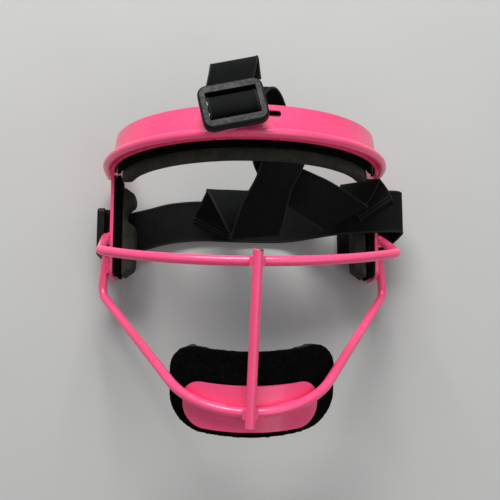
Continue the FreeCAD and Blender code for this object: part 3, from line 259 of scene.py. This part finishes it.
def webbing_weave():
    """Black elastic webbing. The "lay" attribute holds (across, along, face) in metres."""
    finish = Finish("webbing", (0.005, 0.0055, 0.006), 0.8, Specular_IOR_Level=0.12)
    lay = finish.node("ShaderNodeAttribute", attribute_name="lay").outputs["Vector"]
    split = finish.node("ShaderNodeSeparateXYZ", {"Vector": lay})
    across, along = split.outputs["X"], split.outputs["Y"]

    def waves(value, pitch):
        turns = finish.math("MULTIPLY", value, 2 * math.pi * 1000 / pitch)
        return finish.step(finish.math("SINE", turns), -1.0, 1.0)

    twill = waves(finish.math("ADD", along, finish.math("MULTIPLY", across, 0.9)), 1.7)
    warp = waves(across, 0.9)
    weft = waves(along, 0.75)
    threads = finish.math("MULTIPLY", finish.math("ADD", warp, weft), 0.5)
    height = finish.math("ADD", finish.math("MULTIPLY", twill, 0.6),
                         finish.math("MULTIPLY", threads, 0.4))
    fuzz = finish.noise(0.5, 4.0, 0.7)
    dusty = finish.step(finish.noise(7, 4.0, 0.65), 0.45, 0.8)
    # painted shade and painted highlight: the colour follows the weave's bump height, lighter on the
    # thread crowns and darker in the valleys between threads
    dark = finish.mix(height, (0.0015, 0.0016, 0.0017), (0.0072, 0.0078, 0.0080))
    dark = finish.mix(finish.math("MULTIPLY", dusty, 0.4), dark, (0.009, 0.0095, 0.0095))
    edge = finish.step(finish.math("ABSOLUTE", across), mm(11.3), mm(11.9))
    finish.colour(finish.mix(finish.math("MULTIPLY", edge, 0.8), dark, (0.026, 0.027, 0.027)))
    finish.bumps((height, 0.28, 0.9), (fuzz, 0.15, 0.5))
    return finish.material


def thread():
    finish = Finish("thread", (0.03, 0.03, 0.031), 0.7)
    finish.bumps((finish.noise(0.5, 2.0, stretch=(1, 1, 3)), 0.2, 0.8))
    return finish.material


def floor_paint():
    finish = Finish("floor", (0.46, 0.46, 0.45), 0.75, Specular_IOR_Level=0.3)
    finish.colour(finish.mix(finish.noise(60, 3.0), (0.45, 0.45, 0.44), (0.48, 0.48, 0.47)))
    return finish.material


def paint(node, material):
    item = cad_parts[node]
    if not item.material_slots:
        item.data.materials.append(material)
    for place in item.material_slots:
        place.material = material


def add_floor():
    mesh = bpy.data.meshes.new("floor")
    reach = 6.0
    mesh.from_pydata([(-reach, -reach, 0), (reach, -reach, 0), (reach, reach, 0), (-reach, reach, 0)],
                     [], [(0, 1, 2, 3)])
    mesh.materials.append(floor_paint())
    floor = bpy.data.objects.new("floor", mesh)
    bpy.context.collection.objects.link(floor)
    floor.location.z = -0.0002


# ---------------------------------------------------------------- mesh helpers

def mesh_object(name, verts, faces, material, lay=None, smooth=True):
    mesh = bpy.data.meshes.new(name)
    mesh.from_pydata([tuple(vert) for vert in verts], [], faces)
    mesh.validate()
    mesh.materials.append(material)
    if lay is not None:
        attribute = mesh.attributes.new("lay", "FLOAT_VECTOR", "POINT")
        for item, value in zip(attribute.data, lay):
            item.vector = value
    shaped = bmesh.new()
    shaped.from_mesh(mesh)
    bmesh.ops.recalc_face_normals(shaped, faces=shaped.faces)
    shaped.to_mesh(mesh)
    shaped.free()
    for face in mesh.polygons:
        face.use_smooth = smooth
    piece = bpy.data.objects.new(name, mesh)
    bpy.context.collection.objects.link(piece)
    return piece


def apply_modifiers(piece):
    bpy.context.view_layer.update()
    graph = bpy.context.evaluated_depsgraph_get()
    mesh = bpy.data.meshes.new_from_object(piece.evaluated_get(graph), depsgraph=graph)
    piece.modifiers.clear()
    piece.data = mesh
    for face in mesh.polygons:
        face.use_smooth = True


def smooth_line(points, counts):
    """Catmull-Rom line through points, with so many pieces in each span."""
    line = []
    last = len(points) - 1
    for index, pieces in enumerate(counts):
        start, end = points[index], points[index + 1]
        into = (end - points[max(index - 1, 0)]) * 0.5
        out = (points[min(index + 2, last)] - start) * 0.5
        for number in range(pieces):
            t = number / pieces
            line.append(start * (2 * t ** 3 - 3 * t ** 2 + 1) + into * (t ** 3 - 2 * t ** 2 + t)
                        + end * (3 * t ** 2 - 2 * t ** 3) + out * (t ** 3 - t ** 2))
    line.append(points[-1])
    return line


# ---------------------------------------------------------------- webbing

STRAP_WIDE = 25.0
STRAP_THICK = 1.5
SELVAGE = 1.3
RIPPLE_PITCH = 0.11
RIPPLE_SEED = Vector((3.1, 7.7, 1.3))


def strap_section():
    """Outline of webbing as (share of the half width, height in millimetres), with a corded
    selvage along both edges."""
    half = STRAP_THICK / 2
    top = []
    edge = 1 - SELVAGE / (STRAP_WIDE / 2)
    for share in (-edge, -edge * 0.75, -edge * 0.5, -edge * 0.25, 0, edge * 0.25, edge * 0.5,
                  edge * 0.75, edge):
        top.append((share, half * 0.86))
    bead = [(edge + (1 - edge) * 0.35, half * 1.12), (edge + (1 - edge) * 0.75, half * 0.95),
            (1.0, half * 0.35)]
    upper = [(-share, high) for share, high in reversed(bead)] + top + bead
    lower = [(share, -high) for share, high in reversed(upper)]
    return upper + lower


def webbing(name, stations, material, step=1.1, ripple=0.12):
    """Flat strap through stations, each two places on its edges, in millimetres."""
    one_edge = [Vector(one) for one, _ in stations]
    other_edge = [Vector(other) for _, other in stations]
    counts = [max(2, int(round((end - start).length / step)))
              for start, end in zip(one_edge, one_edge[1:])]
    ones = smooth_line(one_edge, counts)
    others = smooth_line(other_edge, counts)
    section = strap_section()
    size = len(section)
    verts, lay = [], []
    count = len(ones)
    middles = [(one + other) / 2 for one, other in zip(ones, others)]
    normals = []
    for index in range(count):
        along = middles[min(index + 1, count - 1)] - middles[max(index - 1, 0)]
        normals.append(along.cross(others[index] - ones[index]).normalized())
    total = 0.0
    for index, middle in enumerate(middles):
        if index:
            total += (middle - middles[index - 1]).length
        half = (others[index] - ones[index]) / 2
        for share, high in section:
            spot = middle + half * share + normals[index] * high
            wave = field.noise(spot * RIPPLE_PITCH + RIPPLE_SEED)
            spot = spot + normals[index] * (wave * ripple)
            verts.append(spot / 1000)
            lay.append((share * STRAP_WIDE / 2000, total / 1000, 1.0 if high > 0 else 0.0))
    faces = []
    for index in range(count - 1):
        for corner in range(size):
            following = (corner + 1) % size
            faces.append((index * size + corner, index * size + following,
                          (index + 1) * size + following, (index + 1) * size + corner))
    faces.append(tuple(range(size)))
    faces.append(tuple((count - 1) * size + corner for corner in reversed(range(size))))
    return mesh_object(name, verts, faces, material, lay), total / 1000


def straight_across(middles, direction):
    half = Vector(direction).normalized() * (STRAP_WIDE / 2)
    return [(Vector(middle) - half, Vector(middle) + half) for middle in middles]


def turned_about(centre_x, centre_z, radius, start, end, steps, height):
    places = []
    for number in range(steps + 1):
        angle = math.radians(start + (end - start) * number / steps)
        places.append((centre_x + radius * math.cos(angle), height,
                       centre_z + radius * math.sin(angle)))
    return places


PLATE_FACE = 77.9
PLATE_FRONT = 31.0
SLOT_HEIGHT = 9.0
LOWER_LAYER = 4.3
UPPER_LAYER = 6.5
OVER_PLATE = 32.85
SIDE_BAR = (-81.3, 11.7)
SIDE_WRAP = 2.3


def rear_strap_stations():
    """Through the left slot, round the side buckle's bar, back, across the rear, over the right
    plate's front edge, round it and in through its slot."""
    inner_leg = SIDE_BAR[0] + SIDE_WRAP
    outer_leg = inner_leg - 1.9
    bar_x, bar_z = SIDE_BAR
    middles = [
        (-62, SLOT_HEIGHT - 2, LOWER_LAYER),
        (-72, SLOT_HEIGHT - 1, LOWER_LAYER),
        (inner_leg - 0.6, SLOT_HEIGHT, LOWER_LAYER),
        (outer_leg + 0.3, SLOT_HEIGHT, LOWER_LAYER + 0.7),
        (outer_leg, SLOT_HEIGHT, LOWER_LAYER + 2.4),
        (outer_leg - 0.4, SLOT_HEIGHT, bar_z - 4.6),
        (bar_x - SIDE_WRAP + 0.2, SLOT_HEIGHT, bar_z - 2.2),
    ]
    middles += turned_about(bar_x, bar_z, SIDE_WRAP, 180, 0, 6, SLOT_HEIGHT)
    middles += [
        (inner_leg, SLOT_HEIGHT, bar_z - 3),
        (inner_leg, SLOT_HEIGHT, UPPER_LAYER + 1.8),
        (inner_leg + 0.5, SLOT_HEIGHT, UPPER_LAYER + 0.5),
        (inner_leg + 1.9, SLOT_HEIGHT, UPPER_LAYER),
        (-70, SLOT_HEIGHT + 1, UPPER_LAYER),
        (-58, SLOT_HEIGHT + 4, 6.0),
        (-44, SLOT_HEIGHT + 8, 4.4),
        (-26, SLOT_HEIGHT + 10, 3.0),
        (-4, SLOT_HEIGHT + 9.6, 2.6),
        (18, SLOT_HEIGHT + 9.4, 2.6),
        (29, SLOT_HEIGHT + 9.6, 5.5),
        (39, SLOT_HEIGHT + 9.8, 14),
        (47, SLOT_HEIGHT + 9.8, 23.5),
        (53.5, SLOT_HEIGHT + 9.8, PLATE_FRONT - 0.7),
        (58.5, SLOT_HEIGHT + 10, OVER_PLATE),
        (66, SLOT_HEIGHT + 10.6, OVER_PLATE),
        (PLATE_FACE + 6, SLOT_HEIGHT + 11.4, OVER_PLATE),
        (PLATE_FACE + 10.6, SLOT_HEIGHT + 11.6, OVER_PLATE - 0.9),
        (PLATE_FACE + 14, SLOT_HEIGHT + 11.6, OVER_PLATE - 3.2),
        (PLATE_FACE + 15, SLOT_HEIGHT + 11, PLATE_FRONT - 4),
        (PLATE_FACE + 12.6, SLOT_HEIGHT + 8, PLATE_FRONT * 0.7),
        (PLATE_FACE + 8.1, SLOT_HEIGHT + 4, UPPER_LAYER + 6),
        (PLATE_FACE + 4.5, SLOT_HEIGHT + 1.5, UPPER_LAYER + 1.6),
        (PLATE_FACE + 1.7, SLOT_HEIGHT + 0.4, UPPER_LAYER - 0.5),
        (PLATE_FACE - 2.9, SLOT_HEIGHT, UPPER_LAYER - 0.8),
        (68, SLOT_HEIGHT + 0.5, UPPER_LAYER - 0.9),
        (58, SLOT_HEIGHT + 1.5, UPPER_LAYER - 0.9),
    ]
    return straight_across(middles, (0, 1, 0))


SLOT = 55.6
BAND_FACE = 105.4
FOAM_TOP = 59.0
BUCKLE_MIDDLE = (-10.3, 56.5, 113.0)
BUCKLE_TURN = (Matrix.Rotation(math.radians(12), 3, "Z") @ Matrix.Rotation(math.radians(-12), 3, "X"))


def top_strap_stations():
    """Down through the top buckle, in through the brow slot, over the brow pad and down behind
    it, folded up and down again to its sewn end on the rear strap."""
    at_buckle = [
        (6.0, 17.6, -10.2), (6.4, 22.4, -9.4), (6.6, 25.6, -7.2), (6.4, 26.6, -4.4),
        (5.8, 25.2, -2.0), (4.6, 21.6, -1.6), (2.4, 16.6, -3.0), (0.4, 12.0, -4.1),
        (0, 8.4, -4.0), (0, 6.4, -3.0), (0, 5.8, -1.0), (0, 4.6, 0.9), (0, 2.6, 2.2),
        (0, 0, 2.7), (0, -2.6, 2.2), (0, -4.6, 0.9), (0, -5.8, -1.2), (0, -6.2, -3.2),
        (0, -5.8, -5.0), (0, -4.4, -6.3),
    ]
    middles = [Vector(BUCKLE_MIDDLE) + BUCKLE_TURN @ Vector(place) for place in at_buckle]
    stations = straight_across(middles, BUCKLE_TURN @ Vector((1, 0, 0)))
    stations += straight_across([
        (-9.2, SLOT - 0.9, BAND_FACE - 0.2), (-9, SLOT, BAND_FACE - 1.6),
        (-8.9, SLOT, BAND_FACE - 5.6), (-8.8, SLOT + 1, BAND_FACE - 6.8),
        (-8.4, SLOT + 3.2, BAND_FACE - 7.3), (-7.6, SLOT + 6.9, BAND_FACE - 7.8),
        (-5.5, SLOT + 11.4, BAND_FACE - 8.8),
    ], (0.993, 0, 0.12))
    stations += straight_across([
        (-2.6, FOAM_TOP + 12.6, BAND_FACE - 11.2), (1, FOAM_TOP + 14.6, BAND_FACE - 16.4),
        (4.5, FOAM_TOP + 13.2, BAND_FACE - 23), (8, FOAM_TOP + 8, BAND_FACE - 30),
        (13, FOAM_TOP - 1, BAND_FACE - 36),
    ], (1, 0, 0))
    return stations + [
        ((7.5, 47.5, 66.0), (33.0, 45.5, 66.5)),
        ((6.5, 39.5, 63.0), (31.0, 39.6, 63.5)),
        ((4.0, 32.5, 59.5), (28.5, 34.0, 60.0)),
        ((0.0, 25.5, 55.5), (25.0, 27.5, 56.0)),
        ((-3.5, 19.0, 52.0), (23.2, 20.5, 52.5)),
        ((-6.2, 11.5, 49.0), (21.5, 12.0, 49.5)),
        ((-8.8, 2.8, 46.5), (19.6, 5.6, 46.5)),
        ((-9.6, 1.2, 45.3), (19.2, 3.8, 45.3)),
        ((-8.9, 2.8, 43.9), (19.6, 5.6, 43.9)),
        ((-12.2, 9.5, 41.6), (15.6, 11.8, 41.6)),
        ((-15.5, 16.5, 39.4), (11.4, 18.0, 39.4)),
        ((-18.8, 23.5, 36.9), (7.2, 24.0, 36.9)),
        ((-22.0, 30.2, 34.2), (2.6, 29.6, 34.2)),
        ((-22.8, 31.8, 32.9), (2.0, 31.2, 32.9)),
        ((-22.9, 30.6, 31.4), (1.4, 29.4, 31.4)),
        ((-24.6, 28.6, 24.0), (-1.0, 24.6, 24.0)),
        ((-27.0, 25.4, 14.5), (-3.6, 17.2, 14.5)),
        ((-29.6, 22.0, 8.0), (-6.8, 11.2, 7.6)),
        ((-30.8, 20.0, 6.2), (-8.4, 8.4, 6.0)),
    ]


def side_leg_stations():
    """Behind the top strap to the right, folded up and down again to its sewn end."""
    rise = OVER_PLATE + STRAP_THICK + 0.05
    return [
        ((1.0, 49.0, 61.0), (26.6, 46.0, 61.0)),
        ((3.4, 40.0, 57.5), (28.2, 40.6, 57.5)),
        ((8.6, 31.0, 54.0), (36.4, 37.6, 54.0)),
        ((16.8, 23.5, 51.0), (45.8, 34.2, 51.0)),
        ((25.6, 17.2, 48.0), (54.6, 30.0, 48.0)),
        ((34.0, 12.0, 45.2), (62.6, 25.6, 45.2)),
        ((41.4, 8.4, 42.6), (69.2, 22.4, 42.6)),
        ((42.6, 7.4, 41.3), (70.4, 21.2, 41.3)),
        ((42.2, 8.8, 39.9), (69.8, 22.6, 39.9)),
        ((49.2, 22.0, 38.6), (74.4, 29.2, 38.6)),
        ((54.6, 33.2, rise + 2.6), (78.6, 37.4, rise + 2.6)),
        ((55.2, 34.6, rise + 1.4), (79.2, 38.8, rise + 1.4)),
        ((56.0, 33.4, rise + 0.2), (80.4, 37.8, rise + 0.2)),
        ((61.2, 24.2, rise), (84.0, 32.6, rise)),
        ((67.4, 13.2, rise), (86.8, 26.6, rise)),
    ]


def stitch_bars(name, one, other, inward, material):
    """Rows of thread stitches across a strap's sewn end, on its upper face."""
    one, other = Vector(one), Vector(other)
    seam = (other - one).normalized()
    inward = Vector(inward).normalized()
    out = seam.cross(inward).normalized()
    if out.z < 0:
        out = -out
    verts, faces = [], []
    length = (other - one).length - 2.4
    count = int(length / 1.9)
    for row in (1.6, 3.6):
        for number in range(count):
            start = one + seam * (1.2 + number * length / count) + inward * row
            base = len(verts)
            for step in range(5):
                t = step / 4
                rise = 0.62 + 0.30 * math.sin(math.pi * t)
                middle = start + seam * (t * 1.5) + out * (STRAP_THICK / 2 * 0.86 + rise - 0.62)
                for corner in range(6):
                    angle = math.tau * corner / 6
                    verts.append((middle + inward * (0.22 * math.cos(angle))
                                  + out * (0.22 * math.sin(angle))) / 1000)
            for step in range(4):
                for corner in range(6):
                    following = (corner + 1) % 6
                    faces.append((base + step * 6 + corner, base + step * 6 + following,
                                  base + step * 6 + 6 + following, base + step * 6 + 6 + corner))
            faces.append(tuple(base + corner for corner in reversed(range(6))))
            faces.append(tuple(base + 24 + corner for corner in range(6)))
    return mesh_object(name, verts, faces, material)


def add_straps():
    weave = webbing_weave()
    top = top_strap_stations()
    side = side_leg_stations()
    for name, node, stations, held, rests in (
            ("rear_webbing", "rear_strap", rear_strap_stations(), "laid", ["frame_band"]),
            ("top_webbing", "top_strap", top, "folded", ["top_buckle", "frame_band"]),
            ("side_webbing", "side_leg", side, "folded", ["rear_webbing"])):
        piece, length = webbing(name, stations, weave)
        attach(piece, "frame")
        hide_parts(node)
    yarn = thread()
    right = stitch_bars("side_end_stitches", *side[-1], (-0.52, 0.85, 0), yarn)
    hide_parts("strap_stitching")
    left = stitch_bars("top_end_stitches", *top[-1], (0.4, 0.75, 0.5), yarn)
    for piece in (right, left):
        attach(piece, "frame")


# ---------------------------------------------------------------- pads

def drawn_in(piece, amount, rounds):
    """Rounds a closed mesh off and pulls it in along its normals."""
    settle = piece.modifiers.new("settle", "SMOOTH")
    settle.factor = 0.5
    settle.iterations = rounds
    apply_modifiers(piece)
    moves = [vert.co - vert.normal * mm(amount) for vert in piece.data.vertices]
    for vert, place in zip(piece.data.vertices, moves):
        vert.co = place
    piece.data.update()


PRESSURE = 4.0
CLOTH_FRAMES = 20


def puffed(name, node, material, voxel, shrink, cap, rounds):
    """Soft copy of a pad's solid: remeshed, then blown up a little as cloth round its stuffing."""
    piece = bpy.data.objects.new(name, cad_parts[node].data.copy())
    bpy.context.collection.objects.link(piece)
    remesh = piece.modifiers.new("remesh", "REMESH")
    remesh.mode = "VOXEL"
    remesh.voxel_size = mm(voxel)
    remesh.use_smooth_shade = True
    apply_modifiers(piece)
    drawn_in(piece, shrink, rounds)
    start = [vert.co.copy() for vert in piece.data.vertices]
    cloth = piece.modifiers.new("cloth", "CLOTH")
    cloth.settings.quality = 5
    cloth.settings.mass = 0.3
    cloth.settings.tension_stiffness = 25
    cloth.settings.compression_stiffness = 25
    cloth.settings.bending_stiffness = 6
    cloth.settings.use_pressure = True
    cloth.settings.uniform_pressure_force = PRESSURE
    cloth.settings.effector_weights.gravity = 0
    cloth.point_cache.frame_start = 1
    cloth.point_cache.frame_end = CLOTH_FRAMES
    for number in range(1, CLOTH_FRAMES + 1):
        bpy.context.scene.frame_set(number)
    apply_modifiers(piece)
    bpy.context.scene.frame_set(1)
    for vert, before in zip(piece.data.vertices, start):
        move = vert.co - before
        if move.length > mm(cap):
            vert.co = before + move.normalized() * mm(cap)
    finer = piece.modifiers.new("finer", "SUBSURF")
    finer.levels = 1
    finer.render_levels = 1
    apply_modifiers(piece)
    piece.data.materials.clear()
    piece.data.materials.append(material)
    return piece


def tufted(piece, size, height, seed):
    """Pushes the surface out by tufts of pile so its outline is fuzzy."""
    mesh = piece.data
    moves = []
    for vert in mesh.vertices:
        spot = vert.co * (1000 / size) + Vector((seed, 0, 0))
        lift = field.noise(spot) * 0.6 + field.noise(spot * 2.3) * 0.4
        moves.append(vert.co + vert.normal * mm(height) * lift)
    for vert, place in zip(mesh.vertices, moves):
        vert.co = place
    mesh.update()


# material slot and rounds of smoothing for each kind of pad piece
PAD_KINDS = {"foam": ("pad_foam", 10), "loop": ("loop_fabric", 4)}
TUFT_SIZE = 1.0
TUFT_HEIGHT = 0.42
PADS = (
    # kind, piece, its CAD node, its body; then voxel, shrink and cap in millimetres
    ("foam", "brow_foam", "brow_pad_foam", "brow_pad", 2.2, 0.5, 1.0),
    ("loop", "brow_loop", "brow_pad_backing", "brow_pad", 1.0, 0.2, 0.3),
    ("foam", "temple_foam_left", "temple_pad_left_foam", "temple_pad_left", 1.4, 0.4, 0.8),
    ("foam", "temple_foam_right", "temple_pad_right_foam", "temple_pad_right", 1.4, 0.4, 0.8),
    ("loop", "temple_loop_left", "temple_pad_left_backing", "temple_pad_left", 0.9, 0.2, 0.3),
    ("loop", "temple_loop_right", "temple_pad_right_backing", "temple_pad_right", 0.9, 0.2, 0.3),
    ("foam", "chin_foam", "chin_pad_foam", "chin_pad", 1.8, 1.1, 0.9),
    ("loop", "chin_loop", "chin_pad_loop", "chin_pad", 0.8, 0.15, 0.4),
)


def add_pads():
    finishes = {"foam": moulded_foam(), "loop": loop_pile()}
    for kind, name, node, body, voxel, shrink, cap in PADS:
        slot, rounds = PAD_KINDS[kind]
        piece = puffed(name, node, finishes[kind], voxel, shrink, cap, rounds)
        if kind == "loop":
            tufted(piece, TUFT_SIZE, TUFT_HEIGHT, len(name))
        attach(piece, body)
        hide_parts(node)


# ---------------------------------------------------------------- the object

add_camera()
add_lights()
add_floor()
coat = powder_coat()
for name in ("frame_band", "brow_wire", "eye_wire", "jaw_wire", "chin_plate", "cage_welds",
             "temple_welds"):
    paint(name, coat)
chip_low, chip_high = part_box("centre_wire")
chip = (chip_high.x - mm(1.5), chip_high.y, chip_high.z - mm(1.0))
paint("centre_wire", powder_coat("powder_coat_chipped", chip))
plastic = buckle_plastic()
paint("top_buckle", plastic)
paint("side_buckle", plastic)
tape = hook_tape()
for name in ("brow_hook_tape", "temple_hook_tape_left", "temple_hook_tape_right", "chin_hook_tape"):
    paint(name, tape)
add_straps()
add_pads()
